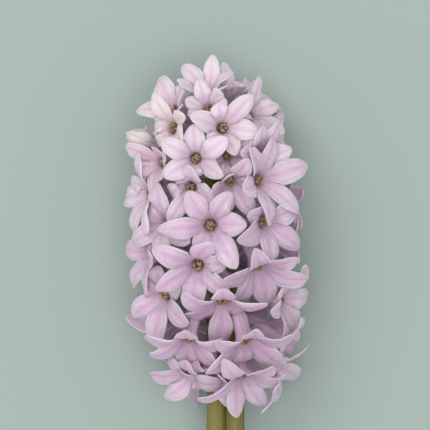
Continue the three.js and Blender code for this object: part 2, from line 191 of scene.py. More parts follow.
def stretched_noise(tree, source, scale, detail=4.0, roughness=0.6):
    """Noise drawn out or squeezed along each axis of a coordinate, as one number."""
    mapping = add(tree, "ShaderNodeMapping", {"Vector": source, "Scale": scale})
    noise = add(tree, "ShaderNodeTexNoise", {
        "Vector": mapping.outputs["Vector"], "Scale": 1.0, "Detail": detail,
        "Roughness": roughness})
    return noise.outputs["Fac"]


def mixed(tree, factor, a, b, blend="MIX"):
    """Two colours mixed by a factor."""
    mix = add(tree, "ShaderNodeMix", data_type="RGBA", blend_type=blend)
    for index, value in ((0, factor), (6, a), (7, b)):
        if isinstance(value, bpy.types.NodeSocket):
            tree.links.new(value, mix.inputs[index])
        else:
            mix.inputs[index].default_value = value
    return mix.outputs[2]


def ramp(tree, factor, low, high):
    """0 below low, 1 above high, and smooth between them."""
    made = add(tree, "ShaderNodeMapRange", {
        "Value": factor, "From Min": low, "From Max": high}, interpolation_type="SMOOTHSTEP")
    return made.outputs["Result"]


stalk_skin, tree, shader = new_material("stalk_skin")
place = add(tree, "ShaderNodeTexCoord").outputs["Object"]
tint = add(tree, "ShaderNodeVertexColor", layer_name="tint").outputs["Color"]
streak = stretched_noise(tree, place, (900.0, 14.0, 900.0))
fleck = stretched_noise(tree, place, (2600.0, 900.0, 2600.0), detail=2.0)
skin = mixed(tree, ramp(tree, streak, 0.35, 0.68), tint, rgba(srgb(126, 117, 64)))
skin = mixed(tree, ramp(tree, fleck, 0.62, 0.74), skin, rgba(srgb(140, 130, 78)))
relief = add(tree, "ShaderNodeMath", {0: streak, 1: fleck}, operation="ADD")
bump = add(tree, "ShaderNodeBump", {
    "Height": relief.outputs[0], "Strength": 0.25, "Distance": 0.0003})
fill(tree, shader, {
    "Base Color": skin, "Roughness": 0.46, "Normal": bump.outputs["Normal"],
    "Subsurface Weight": 0.25, "Subsurface Scale": 0.002,
    "Subsurface Radius": (0.7, 1.0, 0.3), "Specular IOR Level": 0.22})

STALK_GREENS = {-1: srgb(114, 105, 57), 1: srgb(101, 93, 42)}
CUT_TONE = srgb(186, 190, 138)

for name, side in (("stalk_left", -1), ("stalk_right", 1)):
    # Rows run from the middle of the cut face over its edge, up the skin and over the end.
    y = np.linspace(STALK_FOOT + CUT_BEVEL, STALK_TOP - END_STEPS[0], STALK_ROWS)
    y = np.concatenate([
        [STALK_FOOT] * len(CUT_SHARES), y, [STALK_TOP - END_STEPS[1], STALK_TOP]])
    share = np.ones(len(y))
    share[:len(CUT_SHARES)] = CUT_SHARES
    share[-len(END_SHARES):] = END_SHARES
    angle = np.linspace(0, 2 * math.pi, STALK_COLUMNS, endpoint=False)
    radius, x = stalk_at(side, y)
    swell = SWELL * (LONG_SWELL * np.sin(y / LONG_SWELL_LENGTH + side)
                     + SHORT_SWELL * np.sin(y / SHORT_SWELL_LENGTH + 2 * side))
    ribs = (BROAD_RIB_DEPTH * np.cos(BROAD_RIBS * angle + side)
            + FINE_RIB_DEPTH * np.cos(FINE_RIBS * angle))
    shape = (radius * share)[:, None] * (1 - SKIN_INSET + swell[:, None] + ribs)
    inward = angle if side < 0 else angle - math.pi
    inward = np.angle(np.exp(1j * inward))
    shape = shape + (CONTACT_SWELL * share)[:, None] * np.exp(-((inward / CONTACT_WIDTH) ** 2))
    dish = np.where(y == STALK_FOOT, CUT_DISH * (1 - share**2), 0.0)
    points = np.stack([
        x[:, None] + shape * np.cos(angle),
        (y + dish)[:, None] + 0 * angle,
        AXIS_HEIGHT + shape * np.sin(angle)], -1)
    cut = (y <= STALK_FOOT).astype(float)[:, None, None]
    # Painted light and shade: the green is lighter on the side that faces the upper left and
    # darker on the other.
    shade = STALK_GREENS[side] * (1 + PAINTED_LIGHT_DEPTH * np.cos(angle - PAINTED_LIGHT_FACES))[None, :, None]
    pale = CUT_TONE * np.ones((1, STALK_COLUMNS, 1))
    colours = lerp(shade, pale, cut * (share[:, None, None] < CUT_PALE_TO))
    piece = put_mesh(
        name + "_skin", points.reshape(-1, 3), cells(len(y), STALK_COLUMNS, ring=True),
        stalk_skin, tint=colours.reshape(-1, 3))
    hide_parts(name)

# ------------------------------------------------------------------------------- the florets
# Each floret is one grown piece: a short pedicel on a stalk, a bell-shaped tube with a swollen
# foot, and six fleshy tepals that curl back from the tube's rim. One at the upper left is still
# a closed bud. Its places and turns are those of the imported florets.
MOUTH_RADIUS = 4.1
WAIST = (5.5, 2.9)
OVARY = (11.0, 3.3)
NECK = (14.5, 1.7)
PEDICEL_RADIUS = 1.4
PEDICEL_RISE = 5.0
PEDICEL_ROOT = 0.8
PEDICEL_SUNK = 3.0
SUNK_SWELL = 1.2
ROOT_SWELL = 1.25
KNEE = 2.4
FLARE_GUIDE = (-5.0, 7.6)
SLOPE_STEP = 0.02
TEPALS = 6
WEDGE = math.tan(math.pi / TEPALS)
TEPAL_LENGTH = 16.5
TEPAL_HALF_WIDTH = 5.0
TIP_FROM = 0.35
TIP_SHARPNESS = 0.6
TEPAL_BASE_BEND = 34.0
TEPAL_THICKNESS = 0.95
TEPAL_TIP_THINNING = 0.35
TEPAL_CUP = 0.16
LENGTH_SPREAD = 0.12
WIDTH_SPREAD = 0.12
BEND_SPREAD = 18.0
SWAY_SPREAD = 2.0
TWIST_SPREAD = 18.0
GIVES = (0, 14, -12, 28, 42, -24, 58, -36)
SWAYS = (0, 2.5, -2.5, 5, -5)
SHARES = (1, 0.85, 0.7, 0.55, 0.42)
PACKED_THICKNESS = 1.2
PACKED_THINNING = 0.3
PACKED_ROWS = np.array([0.26, 0.54, 0.8, 1.0])
PRESSED_HEIGHT = 0.2
PRESS_SOFTNESS = 1.2
PRESS_ENDS = 20
MISS = 1.0

# at, yaw, pitch, turn, size, bend, seat on the stalk, and single tepals' length, bend and sway.
PLACED = [
    ((-3.4, 3.9, 30), -3, -4, -35, 1.04, 112, None,
     {0: (0.85, 115, 0), 1: (0.86, 112, 4), 2: (0.84, 118, 0), 3: (1.2, 100, 0),
      4: (0.74, 126, -1), 5: (1.08, 108, 0)}),
    ((-9, -13.8, 29), -8, -22, 10, 1, 108, None,
     {0: (0.85, 100, 0), 1: (0.7, 118, 2), 3: (0.85, 108, -2), 4: (1, 100, 0), 5: (1.1, 98, -3)}),
    ((-9.8, 32.6, 27), -6, -6, 0, 0.9, 110, None,
     {0: (0.8, 115, 0), 1: (0.95, 96, 0), 3: (0.62, 118, 0)}),
    ((-12, 20, 27), -16, -14, -30, 0.9, 106, None,
     {0: (0.75, 100, 0), 1: (0.7, 106, 0), 2: (0.7, 80, 0), 3: (0.7, 110, 0), 4: (1.05, 100, 0)}),
    ((1.8, -29, 28.5), 4, -60, 0, 1.1, 112, None, {0: (0.6, 120, 0), 3: (1.15, 98, 0)}),
    ((-13, -46, 25.5), -18, -58, 15, 1.1, 112, None, {0: (0.8, 100, 0), 2: (1.15, 100, 0)}),
    ((12, -46, 25), 26, -54, -10, 1.1, 108, None,
     {3: (1.15, 100, 0), 4: (1.15, 98, 0), 5: (1.05, 104, 0)}),
    ((18, 23.5, 22), 42, 0, 10, 1.04, 104, None, {1: (1.15, 96, 0), 2: (1.15, 98, 0)}),
    ((2.2, 46, 25), 14, 6, 40, 0.92, 102, None,
     {0: (1.15, 86, 0), 2: (0.8, 110, 0), 3: (0.6, 120, 0), 5: (0.6, 100, 0)}),
    ((17.5, -14.5, 24.5), 28, -50, 30, 1.08, 106, None,
     {3: (1.15, 98, 0), 4: (1.1, 98, 0), 5: (1.15, 100, 0)}),
    ((-5, 62, 10), -14, 52, 14, 0.82, 66, STALK_TOP, {}),
    ((5.5, 62.5, 3), 42, 60, 15, 0.74, 68, STALK_TOP, {}),
    ((12.5, 59, -3), 80, 46, 0, 0.78, 80, 45, {}),
    ((14.5, 52.5, 11.5), 54, 20, 15, 0.82, 100, 42, {}),
    ((21, 43, 5), 76, 8, -15, 0.84, 108, 36, {}),
    ((17, 34.5, 20.5), 44, -4, 30, 0.86, 96, 32.5, {}),
    ((5.5, 22.5, 26), 18, -30, 15, 0.86, 74, None, {}),
    ((20, 5.5, 22), 40, -6, 5, 1.05, 108, None, {4: (1.15, 100, 0), 5: (1.15, 100, 0)}),
    ((-18.5, 55, 12), -48, 30, 15, 1, 94, 37.5, {}),
    ((-20, 46, 20), -40, 4, 45, 0.94, 102, 33, {}),
    ((-4, 55, 18.5), -8, 30, 30, 0.86, 66, 42, {}),
    ((-30, 40, 9), -68, 12, 0, 0.78, -70, 36.5, {}),
    ((-25, 31, 18), -46, -6, 10, 0.84, 58, None, {}),
    ((-30.5, 17.5, 12.5), -68, -4, 25, 0.98, 108, None, {}),
    ((-22.5, 4.5, 21), -36, 0, 0, 0.96, 104, None, {}),
    ((-28.5, -8.5, 12), -66, -4, 38, 1.04, 108, None, {}),
    ((-23.5, -26.5, 17.5), -42, -14, 5, 1.03, 112, None, {}),
    ((-23, -40.5, 7), -70, -18, 8, 0.9, 116, None, {}),
    ((27.5, -29, 13), 63, -14, 15, 0.98, 110, None, {}),
    ((28.5, -47.5, 6), 68, -28, -15, 0.98, 112, None, {0: (0.8, 116, 0), 1: (0.85, 116, 0)}),
    ((-12.5, -61, 13), -42, -42, 40, 0.92, 110, None, {}),
    ((-4, -60.5, 16), -6, -58, 15, 0.96, 96, None, {0: (1.2, 92, 0), 1: (1.2, 92, 0)}),
    ((10.5, -61.5, 18), 24, -54, 15, 1.02, 100, None, {4: (1.15, 96, 0), 5: (1.25, 92, 0)}),
    ((24.5, -59.5, 1.5), 84, -34, 10, 0.96, 104, None, {}),
    ((4, 34, 22.5), 8, 2, 10, 0.7, 60, 28, {}),
]
# Florets underneath stand in staggered rows: y, distance out, pitch, yaws and size.
ROWS = [
    (47, 19, 32, (127, 180, 233), 0.86),
    (33, 24, 12, (112, 156, 204, 248), 0.94),
    (14, 28, 2, (118, 176, 233), 1),
    (-5, 28, -4, (92, 148, 202, 254), 1),
    (-21, 28, -8, (118, 176, 233), 1),
    (-42, 26, -18, (112, 156, 204, 242), 0.94),
    (-57, 25, -22, (154, 204), 0.94),
]
ROW_BEND = 110
ROW_TURN = 23

# The grid of one sixth of a floret: places across it, and rows along its tube, tepal and throat.
HALF_ACROSS = (0.14, 0.34, 0.55, 0.74, 0.88, 0.97, 1.0)
ACROSS = np.array([-v for v in HALF_ACROSS[::-1]] + [0.0] + list(HALF_ACROSS))
TUBE_ROWS = 17
ALONG = 1 - (1 - np.linspace(0, 1, 19)) ** 1.35
THROAT = np.array([
    (0.0, 4.1), (1.0, 3.35), (2.0, 2.8), (3.2, 2.4), (4.6, 2.2), (6.0, 2.0), (7.2, 1.6),
    (7.8, 0.9), (8.0, 0.0)])

# Fine form that each tepal has besides its curl, in millimetres or as a share of its width.
GROOVE_DEPTH = 0.22
KEEL_DEPTH = 0.2
RIM_ROLL = 0.14
RIM_SWELL = 0.03
LIP_FROM = 0.86
GROOVE_WIDTH = 0.36
KEEL_WIDTH = 0.24
FOOT_WIDTH = 0.6
WIDEST_AT = 0.5
CUP_SPREAD = 0.7
WAVES = 1.3
WAVE_TILT = 0.6
WAVE_LIFT = 0.5
LIFT_PACE = 1.4
LIFT_LAG = 2
EDGE_WAVE = 0.5
TUBE_RIBS = 0.07
LAYER = 0.35
OVERLAP = 0.3
JOINED_TO = 0.1
PARTED_AT = 0.36

# Over the head the colour runs paler to the upper left and darker to the lower right: partly the
# florets' own tones and partly painted light and shade from the upper left.
PALE = srgb(235, 209, 220)
CREAM = srgb(238, 217, 204)
ROSE = srgb(220, 187, 195)
ASH = srgb(219, 197, 203)
MAUVE = srgb(211, 180, 201)
DUSK_AND_SHADE = srgb(204, 174, 194)
THROAT_TONE = srgb(186, 158, 150)
TUBE_TONE = srgb(208, 181, 203)
PEDICEL_TONE = srgb(176, 164, 142)
OWN_TONES = {13: ROSE, 20: CREAM, 22: CREAM, 23: ROSE, 29: ASH, 30: ASH, 34: ASH, 35: ROSE}
OWN_TONE_SHARE = 0.5
TONE_SPREAD = 0.05
# Painted shade near the tube and along the tepals' grooves, and a painted highlight on the crests
# beside them.
PAINTED_BASE_SHADE = np.array([0.88, 0.78, 0.87])
PAINTED_GROOVE_SHADE = np.array([0.93, 0.86, 0.93])
PAINTED_CREST_LIGHT = 1.06

florets = [list(row) for row in PLACED]
for r, (y, out, pitch, yaws, size) in enumerate(ROWS):
    for i, yaw in enumerate(yaws):
        at = (out * math.sin(math.radians(yaw)), y, out * math.cos(math.radians(yaw)))
        florets.append([at, yaw, pitch, ROW_TURN * (r + i), size, ROW_BEND, None, {}])


def spread(number, tepal, trait):
    """A repeatable number from -1 to 1: the fraction left by a large sine."""
    wave = math.sin(number * 12.9898 + tepal * 78.233 + trait * 37.719) * 43758.5453
    return 2 * (wave - math.floor(wave)) - 1


def pressed(points):
    """Heights near the surface are squeezed to just above it, by the logarithm of 1 plus the
    exponential of the height over its softness. Heights well above it stay as they are."""
    u = (points[..., 2] - PRESSED_HEIGHT) / PRESS_SOFTNESS
    lifted = np.where(u > PRESS_ENDS, u, np.log1p(np.exp(np.minimum(u, PRESS_ENDS))))
    return np.concatenate([
        points[..., :2], (PRESSED_HEIGHT + PRESS_SOFTNESS * lifted)[..., None]], -1)


class Floret:
    """Where one floret stands: the middle of its mouth, the way it looks and two ways across."""

    def __init__(self, number, row):
        at, yaw, pitch, self.turn, self.size, self.bend, self.seat, self.single = row
        self.number = number
        self.pitch = math.radians(pitch)
        yaw = math.radians(yaw)
        self.axis = np.array([
            math.sin(yaw) * math.cos(self.pitch), math.sin(self.pitch),
            math.cos(yaw) * math.cos(self.pitch)])
        along = np.array([0.0, 1.0, 0.0])
        self.up = unit(along - along.dot(self.axis) * self.axis)
        self.side = np.cross(self.up, self.axis)
        self.mouth = np.array([at[0], at[1], at[2] + AXIS_HEIGHT])
        self.rim = MOUTH_RADIUS * self.size

    def spoke(self, degrees):
        """Directions out from the axis, clockwise as one looks into the mouth."""
        a = np.radians(np.asarray(degrees, float))[..., None]
        return self.up * np.cos(a) + self.side * np.sin(a)


def spine(floret, k, share, give, sway, s):
    """A tepal's middle line at places s, for each way of settling. It leaves the rim and curls
    back in an arc, swaying to one side with the square of s, and its edges twist about it.
    Gives the points, the direction of its edges, its normals and its distance from the axis."""
    own_share, curl, own_sway = floret.single.get(k, (1, floret.bend, 0))
    share, give, sway = (np.asarray(value, float)[..., None] for value in (share, give, sway))
    n = floret.number
    length = TEPAL_LENGTH * floret.size * own_share * share * (1 + LENGTH_SPREAD * spread(n, k, 1))
    start = math.radians(TEPAL_BASE_BEND)
    arc = np.radians(curl + give + BEND_SPREAD * spread(n, k, 2)) - start
    swing = own_sway + sway + SWAY_SPREAD * spread(n, k, 3)
    twist = math.radians(TWIST_SPREAD * spread(n, k, 4))
    angle = floret.turn + 60 * k
    out, across = floret.spoke(angle), floret.spoke(angle + 90)
    bend = start + arc * s
    forward = length * (np.sin(bend) - math.sin(start)) / arc
    outward = floret.rim + length * (math.cos(start) - np.cos(bend)) / arc
    middle = (floret.mouth + forward[..., None] * floret.axis + outward[..., None] * out
              + (swing * s**2)[..., None] * across)
    heading = unit(np.sin(bend)[..., None] * out + np.cos(bend)[..., None] * floret.axis
                   + (2 * swing * s / length)[..., None] * across)
    flat = unit(across - (heading @ across)[..., None] * heading)
    turned = (twist * s)[..., None]
    edge = flat * np.cos(turned) - np.cross(heading, flat) * np.sin(turned)
    return middle, edge, np.cross(edge, heading), outward


WAYS = np.array([
    (share, give, sway) for share in SHARES for give in GIVES for sway in SWAYS], float)


def settled_way(floret, k, corners):
    """How a tepal gave room to its neighbours: of all ways, the one whose two faces and tip lie
    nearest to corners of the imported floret. A distance beyond MISS counts as MISS."""
    middle, _, normal, _ = spine(floret, k, *WAYS.T, PACKED_ROWS)
    thick = PACKED_THICKNESS * (1 - PACKED_THINNING * PACKED_ROWS[:-1, None]) / 2
    ends = pressed(middle[:, -1:])
    faces = [pressed(middle[:, :-1]) + way * thick * normal[:, :-1] for way in (-1, 1)]
    places = np.concatenate([*faces, ends], axis=1)
    apart = ((places**2).sum(-1)[..., None] + (corners**2).sum(-1) - 2 * places @ corners.T)
    nearest = np.sqrt(np.maximum(apart.min(-1), 0))
    return WAYS[np.minimum(nearest, MISS).sum(-1).argmin()]


def through(stations, t):
    """A smooth path through stations at whole numbers of t: a Catmull-Rom curve, whose slope at
    a station is half the step between its neighbours. The first and last only steer it."""
    i = np.minimum(t.astype(int), len(stations) - 4)
    f = (t - i)[:, None]
    a, b, c, d = (stations[i + j] for j in range(4))
    return b + 0.5 * f * (c - a + f * (2 * a - 5 * b + 4 * c - d + f * (3 * (b - c) + d - a)))


def tube_path(floret):
    """The middle line, direction and radius of the pedicel and tube, from inside the stalk to
    the mouth."""
    size, axis = floret.size, floret.axis
    neck = floret.mouth - axis * NECK[0] * size
    seat_y = floret.seat
    if seat_y is None:
        seat_y = neck[1] - PEDICEL_RISE * size * math.cos(floret.pitch)
    radius, x = stalk_at(-1 if floret.mouth[0] < STALK_MIDDLE / 2 else 1, seat_y)
    middle = np.array([x, seat_y, AXIS_HEIGHT])
    on_end = floret.seat == STALK_TOP
    out = unit(np.array([0, 1, 0] if on_end else [neck[0] - x, 0, neck[2] - AXIS_HEIGHT]))
    reach = (0 if on_end else radius) + SEAT_GAP
    stations = [(middle + out * (reach - PEDICEL_SUNK), PEDICEL_RADIUS * SUNK_SWELL)]
    stations.append((middle + out * (reach - PEDICEL_ROOT), PEDICEL_RADIUS * ROOT_SWELL))
    stations.append((middle + out * (reach + KNEE), PEDICEL_RADIUS))
    for back, wide in (NECK, OVARY, WAIST, (0.0, MOUTH_RADIUS), FLARE_GUIDE):
        stations.append((floret.mouth - axis * back * size, wide * size))
    stations = np.array([[*point, wide] for point, wide in stations])
    t = np.linspace(0, len(stations) - 3, TUBE_ROWS)
    path = through(stations, t)
    ahead = through(stations, np.minimum(t + SLOPE_STEP, len(stations) - 3))
    behind = through(stations, np.maximum(t - SLOPE_STEP, 0))
    direction = unit(ahead[:, :3] - behind[:, :3])
    direction[-1] = axis
    return path[:, :3], direction, path[:, 3], t / t[-1]


def turned_to(vectors, start, ends):
    """Vectors carried by the smallest turn that takes one direction to each of the others."""
    hinge = np.cross(start, ends)[:, None]
    once = np.cross(hinge, vectors)
    return vectors + once + np.cross(hinge, once) / (1 + ends @ start)[:, None, None]


def sheet(floret, k, way):
    """A tepal before it has thickness, as rows along it and columns across. Its section rises
    to the edges, whose rims roll over and wave, and near the tube it follows the round rim.
    Inner tepals stand a little before the outer ones. Gives the points and the rows' normals."""
    s, v = ALONG, ACROSS
    n = floret.number
    middle, edge, normal, outward = spine(floret, k, *way, s)
    bulge = FOOT_WIDTH + (1 - FOOT_WIDTH) * np.sin(math.pi / 2 * np.minimum(1, s / WIDEST_AT))
    to_tip = np.maximum(0, (s - TIP_FROM) / (1 - TIP_FROM))
    taper = (1 - to_tip**2) ** TIP_SHARPNESS
    widest = TEPAL_HALF_WIDTH * floret.size * (1 + WIDTH_SPREAD * spread(n, k, 5))
    room = outward * WEDGE * (1 + OVERLAP * smooth(0.15, 0.4, s))
    half = np.minimum(widest * bulge * taper, room)[:, None]
    free = smooth(0.05, 0.4, s)[:, None]
    wave = 2 * math.pi * (WAVES * s[:, None] + spread(n, k, 12))
    lift = TEPAL_CUP * (1 + CUP_SPREAD * spread(n, k, 6)) * half * v**2
    lift = lift - RIM_ROLL * (1 + spread(n, k, 7)) * half * np.abs(v) ** 5 * free
    lift = lift + EDGE_WAVE * floret.size * free * (
        WAVE_TILT * np.sin(wave) * v * np.abs(v)
        + WAVE_LIFT * np.sin(LIFT_PACE * wave + LIFT_LAG) * v**2)
    lift = lift + (LAYER if k % 2 else -LAYER) * free * (1 - smooth(0.5, 1, s))[:, None]
    flat = middle[:, None] + edge[:, None] * (half * v)[..., None]
    flat = flat + normal[:, None] * lift[..., None]
    angle = floret.turn + 60 * k
    out, across = floret.spoke(angle), floret.spoke(angle + 30 * v)
    ring = floret.rim * (across * (1 + RIM_SWELL * v**2)[:, None] - out)
    return lerp(middle[:, None] + ring, flat, smooth(0, 0.3, s)[:, None, None]), normal


def joined(sheets):
    """Near the tube neighbouring tepals share one edge, midway between their own, so that they
    part only beyond it. The pull to that edge fades with the square of the way across."""
    hold = (1 - smooth(JOINED_TO, PARTED_AT, ALONG))[:, None, None]
    between = [(a[:, -1] + b[:, 0]) / 2 for a, b in zip(sheets, sheets[1:] + sheets[:1])]
    towards = (ACROSS**2)[:, None]
    made = []
    for k, points in enumerate(sheets):
        right = (between[k] - points[:, -1])[:, None] * towards * (ACROSS > 0)[:, None]
        left = (between[k - 1] - points[:, 0])[:, None] * towards * (ACROSS < 0)[:, None]
        made.append(pressed(points + hold * (right + left)))
    return made


def sixth(floret, k, points, normal):
    """One sixth of a floret as a single grid, from a tepal's sheet and normals. Its rows run
    from the middle of the pedicel's root up the outside of the tube, over the tepal's back to
    the tip, along its face and down into the throat. Gives the points with their place along
    and across, and 1 on the inner side."""
    s, v = ALONG, ACROSS
    across = floret.spoke(floret.turn + 60 * k + 30 * v)
    # The two faces lie off the sheet, by less and less towards the edges.
    thick = TEPAL_THICKNESS * (1 - TEPAL_TIP_THINNING * s[:, None]) / 2
    body = thick * np.sqrt(1 - np.abs(v) ** 3)
    fade = (smooth(0.0, 0.2, s) * (1 - smooth(0.6, 0.97, s)))[:, None]
    ridge = np.exp(-((v / KEEL_WIDTH) ** 2)) * fade
    furrow = np.cos(math.pi * np.minimum(np.abs(v) / GROOVE_WIDTH, 2)) * (1 - v**2) * fade
    back = points - normal[:, None] * (body + KEEL_DEPTH * ridge)[..., None]
    face = points + normal[:, None] * (body - GROOVE_DEPTH * furrow)[..., None]
    # The tube flares into the rim, and its wall there is the tepals' own.
    rise = normal[0] * body[0][:, None]
    line, direction, radius, t = tube_path(floret)
    ribs = 1 + TUBE_RIBS * np.cos(math.pi * v) * smooth(0.35, 0.6, t)[:, None]
    spokes = turned_to(across[None], floret.axis, direction)
    lip = smooth(LIP_FROM, 1, t)[:, None]
    wide = radius[:, None] * ribs * (1 + RIM_SWELL * v**2 * lip)
    outside = line[:, None] + spokes * wide[..., None] - lip[..., None] * rise
    outside = np.concatenate([line[:1, None] + 0 * spokes[:1], outside[:-1]])
    depth, wide = (THROAT * floret.size).T
    inner = floret.mouth - depth[1:, None, None] * floret.axis
    wall = 1 + RIM_SWELL * v**2 * (1 - smooth(0, 2, depth[1:, None]))
    inner = inner + across * (wide[1:, None] * wall)[..., None]
    inner = inner + (1 - smooth(0, 2.5, depth[1:]))[:, None, None] * rise
    grid = np.concatenate([outside, back, face[::-1], inner])
    grid[..., 2] = np.maximum(grid[..., 2], 0.0)
    along = np.concatenate([[-1.0], t[:-1] - 1, s, s[::-1], -depth[1:] / depth[-1]])
    inside = np.concatenate([np.zeros(len(outside) + len(s)), np.ones(len(s) + len(depth) - 1)])
    return grid, along[:, None] + 0 * v, v + 0 * along[:, None], inside[:, None] + 0 * v


def petal_tint(floret, k, along, across, inside):
    """The ground colour: paler towards the head's upper left and darker towards its lower right,
    partly the florets' own tones and partly painted light and shade from the upper left. Near the
    tube and along the tepals' grooves it is darker with painted shade, beside them lighter with a
    painted highlight on the crests; brownish in the throat and dull on the pedicel."""
    x, y = floret.mouth[:2]
    n = floret.number
    # Paler to the upper left and darker to the lower right: partly own tone, partly painted light
    # and shade.
    paleness_and_light = float(smooth(-5, 55, y - 0.45 * x)) * 0.9
    dusk_and_shade = float(smooth(-10, 45, x - 0.5 * y)) * 0.8
    ground = lerp(lerp(MAUVE, DUSK_AND_SHADE, dusk_and_shade), PALE, paleness_and_light)
    ground = lerp(ground, OWN_TONES.get(n, ground), OWN_TONE_SHARE)
    ground = ground * (1 + TONE_SPREAD * spread(n, k, 8))
    colour = np.ones((*along.shape, 3)) * ground
    # Painted shade near the tube and in the groove, and a painted highlight on the crests.
    tube_shade = (1 - smooth(-0.1, 0.5, along))[..., None]
    colour = lerp(colour, colour * PAINTED_BASE_SHADE, tube_shade * 0.85)
    groove = np.exp(-((across / 0.3) ** 2)) * smooth(0.0, 0.2, along) * (1 - smooth(0.5, 1, along))
    colour = lerp(colour, colour * PAINTED_GROOVE_SHADE, (groove * inside)[..., None])
    crest_highlight = np.exp(-(((np.abs(across) - 0.6) / 0.25) ** 2)) * smooth(0.1, 0.6, along)
    colour = lerp(colour, colour * PAINTED_CREST_LIGHT, crest_highlight[..., None])
    throat = (1 - smooth(-0.35, 0.06, along)) * inside
    colour = lerp(colour, THROAT_TONE, throat[..., None])
    tube = (1 - smooth(-0.5, 0.0, along)) * (1 - inside)
    colour = lerp(colour, TUBE_TONE, tube[..., None] * 0.8)
    stem = (1 - smooth(-0.85, -0.6, along)) * (1 - inside)
    return lerp(colour, PEDICEL_TONE, stem[..., None])


petal_flesh, tree, shader = new_material("petal_flesh")
place = add(tree, "ShaderNodeTexCoord").outputs["Object"]
chart = add(tree, "ShaderNodeUVMap", uv_map="UVMap").outputs["UV"]
tint = add(tree, "ShaderNodeVertexColor", layer_name="tint").outputs["Color"]
parts = add(tree, "ShaderNodeSeparateXYZ", {"Vector": chart})
from_middle = add(tree, "ShaderNodeMath", {0: parts.outputs["X"], 1: 0.5}, operation="SUBTRACT")
from_middle = add(tree, "ShaderNodeMath", {0: from_middle.outputs[0]}, operation="ABSOLUTE")
veins = stretched_noise(tree, chart, (26.0, 1.3, 1.0), detail=3.0)
folds = stretched_noise(tree, chart, (9.0, 1.1, 1.0), detail=2.0)
mottle = stretched_noise(tree, place, (260.0, 260.0, 260.0), detail=3.0)
grain = stretched_noise(tree, place, (3200.0, 3200.0, 3200.0), detail=2.0)
dark = mixed(tree, 1.0, tint, rgba(np.array([0.8, 0.72, 0.8])), blend="MULTIPLY")
light = mixed(tree, 0.4, tint, rgba(srgb(250, 236, 245)))
flesh = mixed(tree, ramp(tree, veins, 0.66, 0.4), tint, dark)
flesh = mixed(tree, 0.42, tint, flesh)
folded = mixed(tree, ramp(tree, folds, 0.46, 0.66), flesh, light)
flesh = mixed(tree, 0.45, flesh, folded)
blotched = mixed(tree, ramp(tree, mottle, 0.42, 0.72), flesh, light)
flesh = mixed(tree, 0.3, flesh, blotched)
# The edges of each tepal are lightened towards white: a painted highlight along the rims.
rim = ramp(tree, from_middle.outputs[0], 0.4, 0.5)
rim = add(tree, "ShaderNodeMath", {0: rim, 1: 0.48}, operation="MULTIPLY")
rim_highlighted = mixed(tree, rim.outputs[0], flesh, rgba(srgb(252, 240, 248)))
relief = add(tree, "ShaderNodeMath", {0: folds, 1: 2.0, 2: veins}, operation="MULTIPLY_ADD")
relief = add(tree, "ShaderNodeMath", {0: grain, 1: 0.25, 2: relief.outputs[0]},
             operation="MULTIPLY_ADD")
bump = add(tree, "ShaderNodeBump", {
    "Height": relief.outputs[0], "Strength": 0.65, "Distance": 0.0006})
fill(tree, shader, {
    "Base Color": rim_highlighted, "Roughness": 0.5, "Normal": bump.outputs["Normal"],
    "Subsurface Weight": 0.7, "Subsurface Scale": 0.004,
    "Subsurface Radius": (1.0, 0.75, 0.95), "Specular IOR Level": 0.35,
    "Sheen Weight": 0.1, "Sheen Roughness": 0.5})

settled = []
for number, row in enumerate(florets, start=1):
    floret = Floret(number, row)
    node = f"floret_{number:02d}"
    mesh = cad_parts[node].data
    corners = np.empty(len(mesh.vertices) * 3, np.float32)
    mesh.vertices.foreach_get("co", corners)
    corners = np.unique(corners.reshape(-1, 3), axis=0).astype(float) / MM - SHIFT
    ways = [settled_way(floret, k, corners) for k in range(TEPALS)]
    sheets, normals = zip(*[sheet(floret, k, way) for k, way in enumerate(ways)])
    sheets = joined(list(sheets))
    sixths = [(k, *sixth(floret, k, sheets[k], normals[k])) for k in range(TEPALS)]
    rows, columns = sixths[0][1].shape[:2]
    grid = cells(rows, columns)
    triangles = np.concatenate([grid + i * rows * columns for i in range(TEPALS)])
    points = np.concatenate([part[1].reshape(-1, 3) for part in sixths])
    tints = np.concatenate([petal_tint(floret, k, *rest).reshape(-1, 3) for k, _, *rest in sixths])
    chart = np.concatenate([
        np.stack([(across.ravel() + 1) / 2, (along.ravel() + 1) / 2], -1)
        for _, _, along, across, _ in sixths])
    piece = put_mesh(f"petals_{number:02d}", points, triangles, petal_flesh, chart, tints)
    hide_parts(node)
    settled.append(floret)

# ------------------------------------------------------------------- the stamens and pistils
# Six stamens stand on the tube's wall with their two-lobed brown anthers just inside the
# mouth, round one pistil whose pale stigma ends deeper in the throat.
ANTHER_HALF_LENGTH = 1.45
ANTHER_RADIUS = 0.62
ANTHER_COLUMNS = 10
ANTHER_ROWS = 8
ANTHER_CIRCLE = 1.3
ANTHER_BACK = 0.7
ANTHER_LEAN = 0.25
ANTHER_GROOVE = 0.35
CIRCLE_SPREAD = 0.35
BACK_SPREAD = 0.7
LEAN_SPREAD = 0.3
SIDE_LEAN_SPREAD = 0.4
STRAY_DEGREES = 16
FILAMENT_BACK = 4.6
FILAMENT_CIRCLE = 2.2
FILAMENT_RADIUS = 0.22
FILAMENT_COLUMNS = 6
STIGMA_BACK = 3.4
STIGMA_RADIUS = 0.62
STYLE_FOOT_BACK = 7.6
PISTIL_COLUMNS = 9


def turned_body(path, radii, up, columns, groove=0.0):
    """Rings about a path of points, each with its radius and pressed in on one side by a
    bell-shaped groove, with both ends closed to a point."""
    along = unit(path[-1] - path[0])
    side = unit(np.cross(along, up))
    other = np.cross(side, along)
    angle = np.linspace(0, 2 * math.pi, columns, endpoint=False)
    shape = radii[:, None] * (1 - groove * np.exp(-((angle - math.pi / 2) / 0.55) ** 2))
    return (path[:, None] + (shape * np.cos(angle))[..., None] * side
            + (shape * np.sin(angle))[..., None] * other)


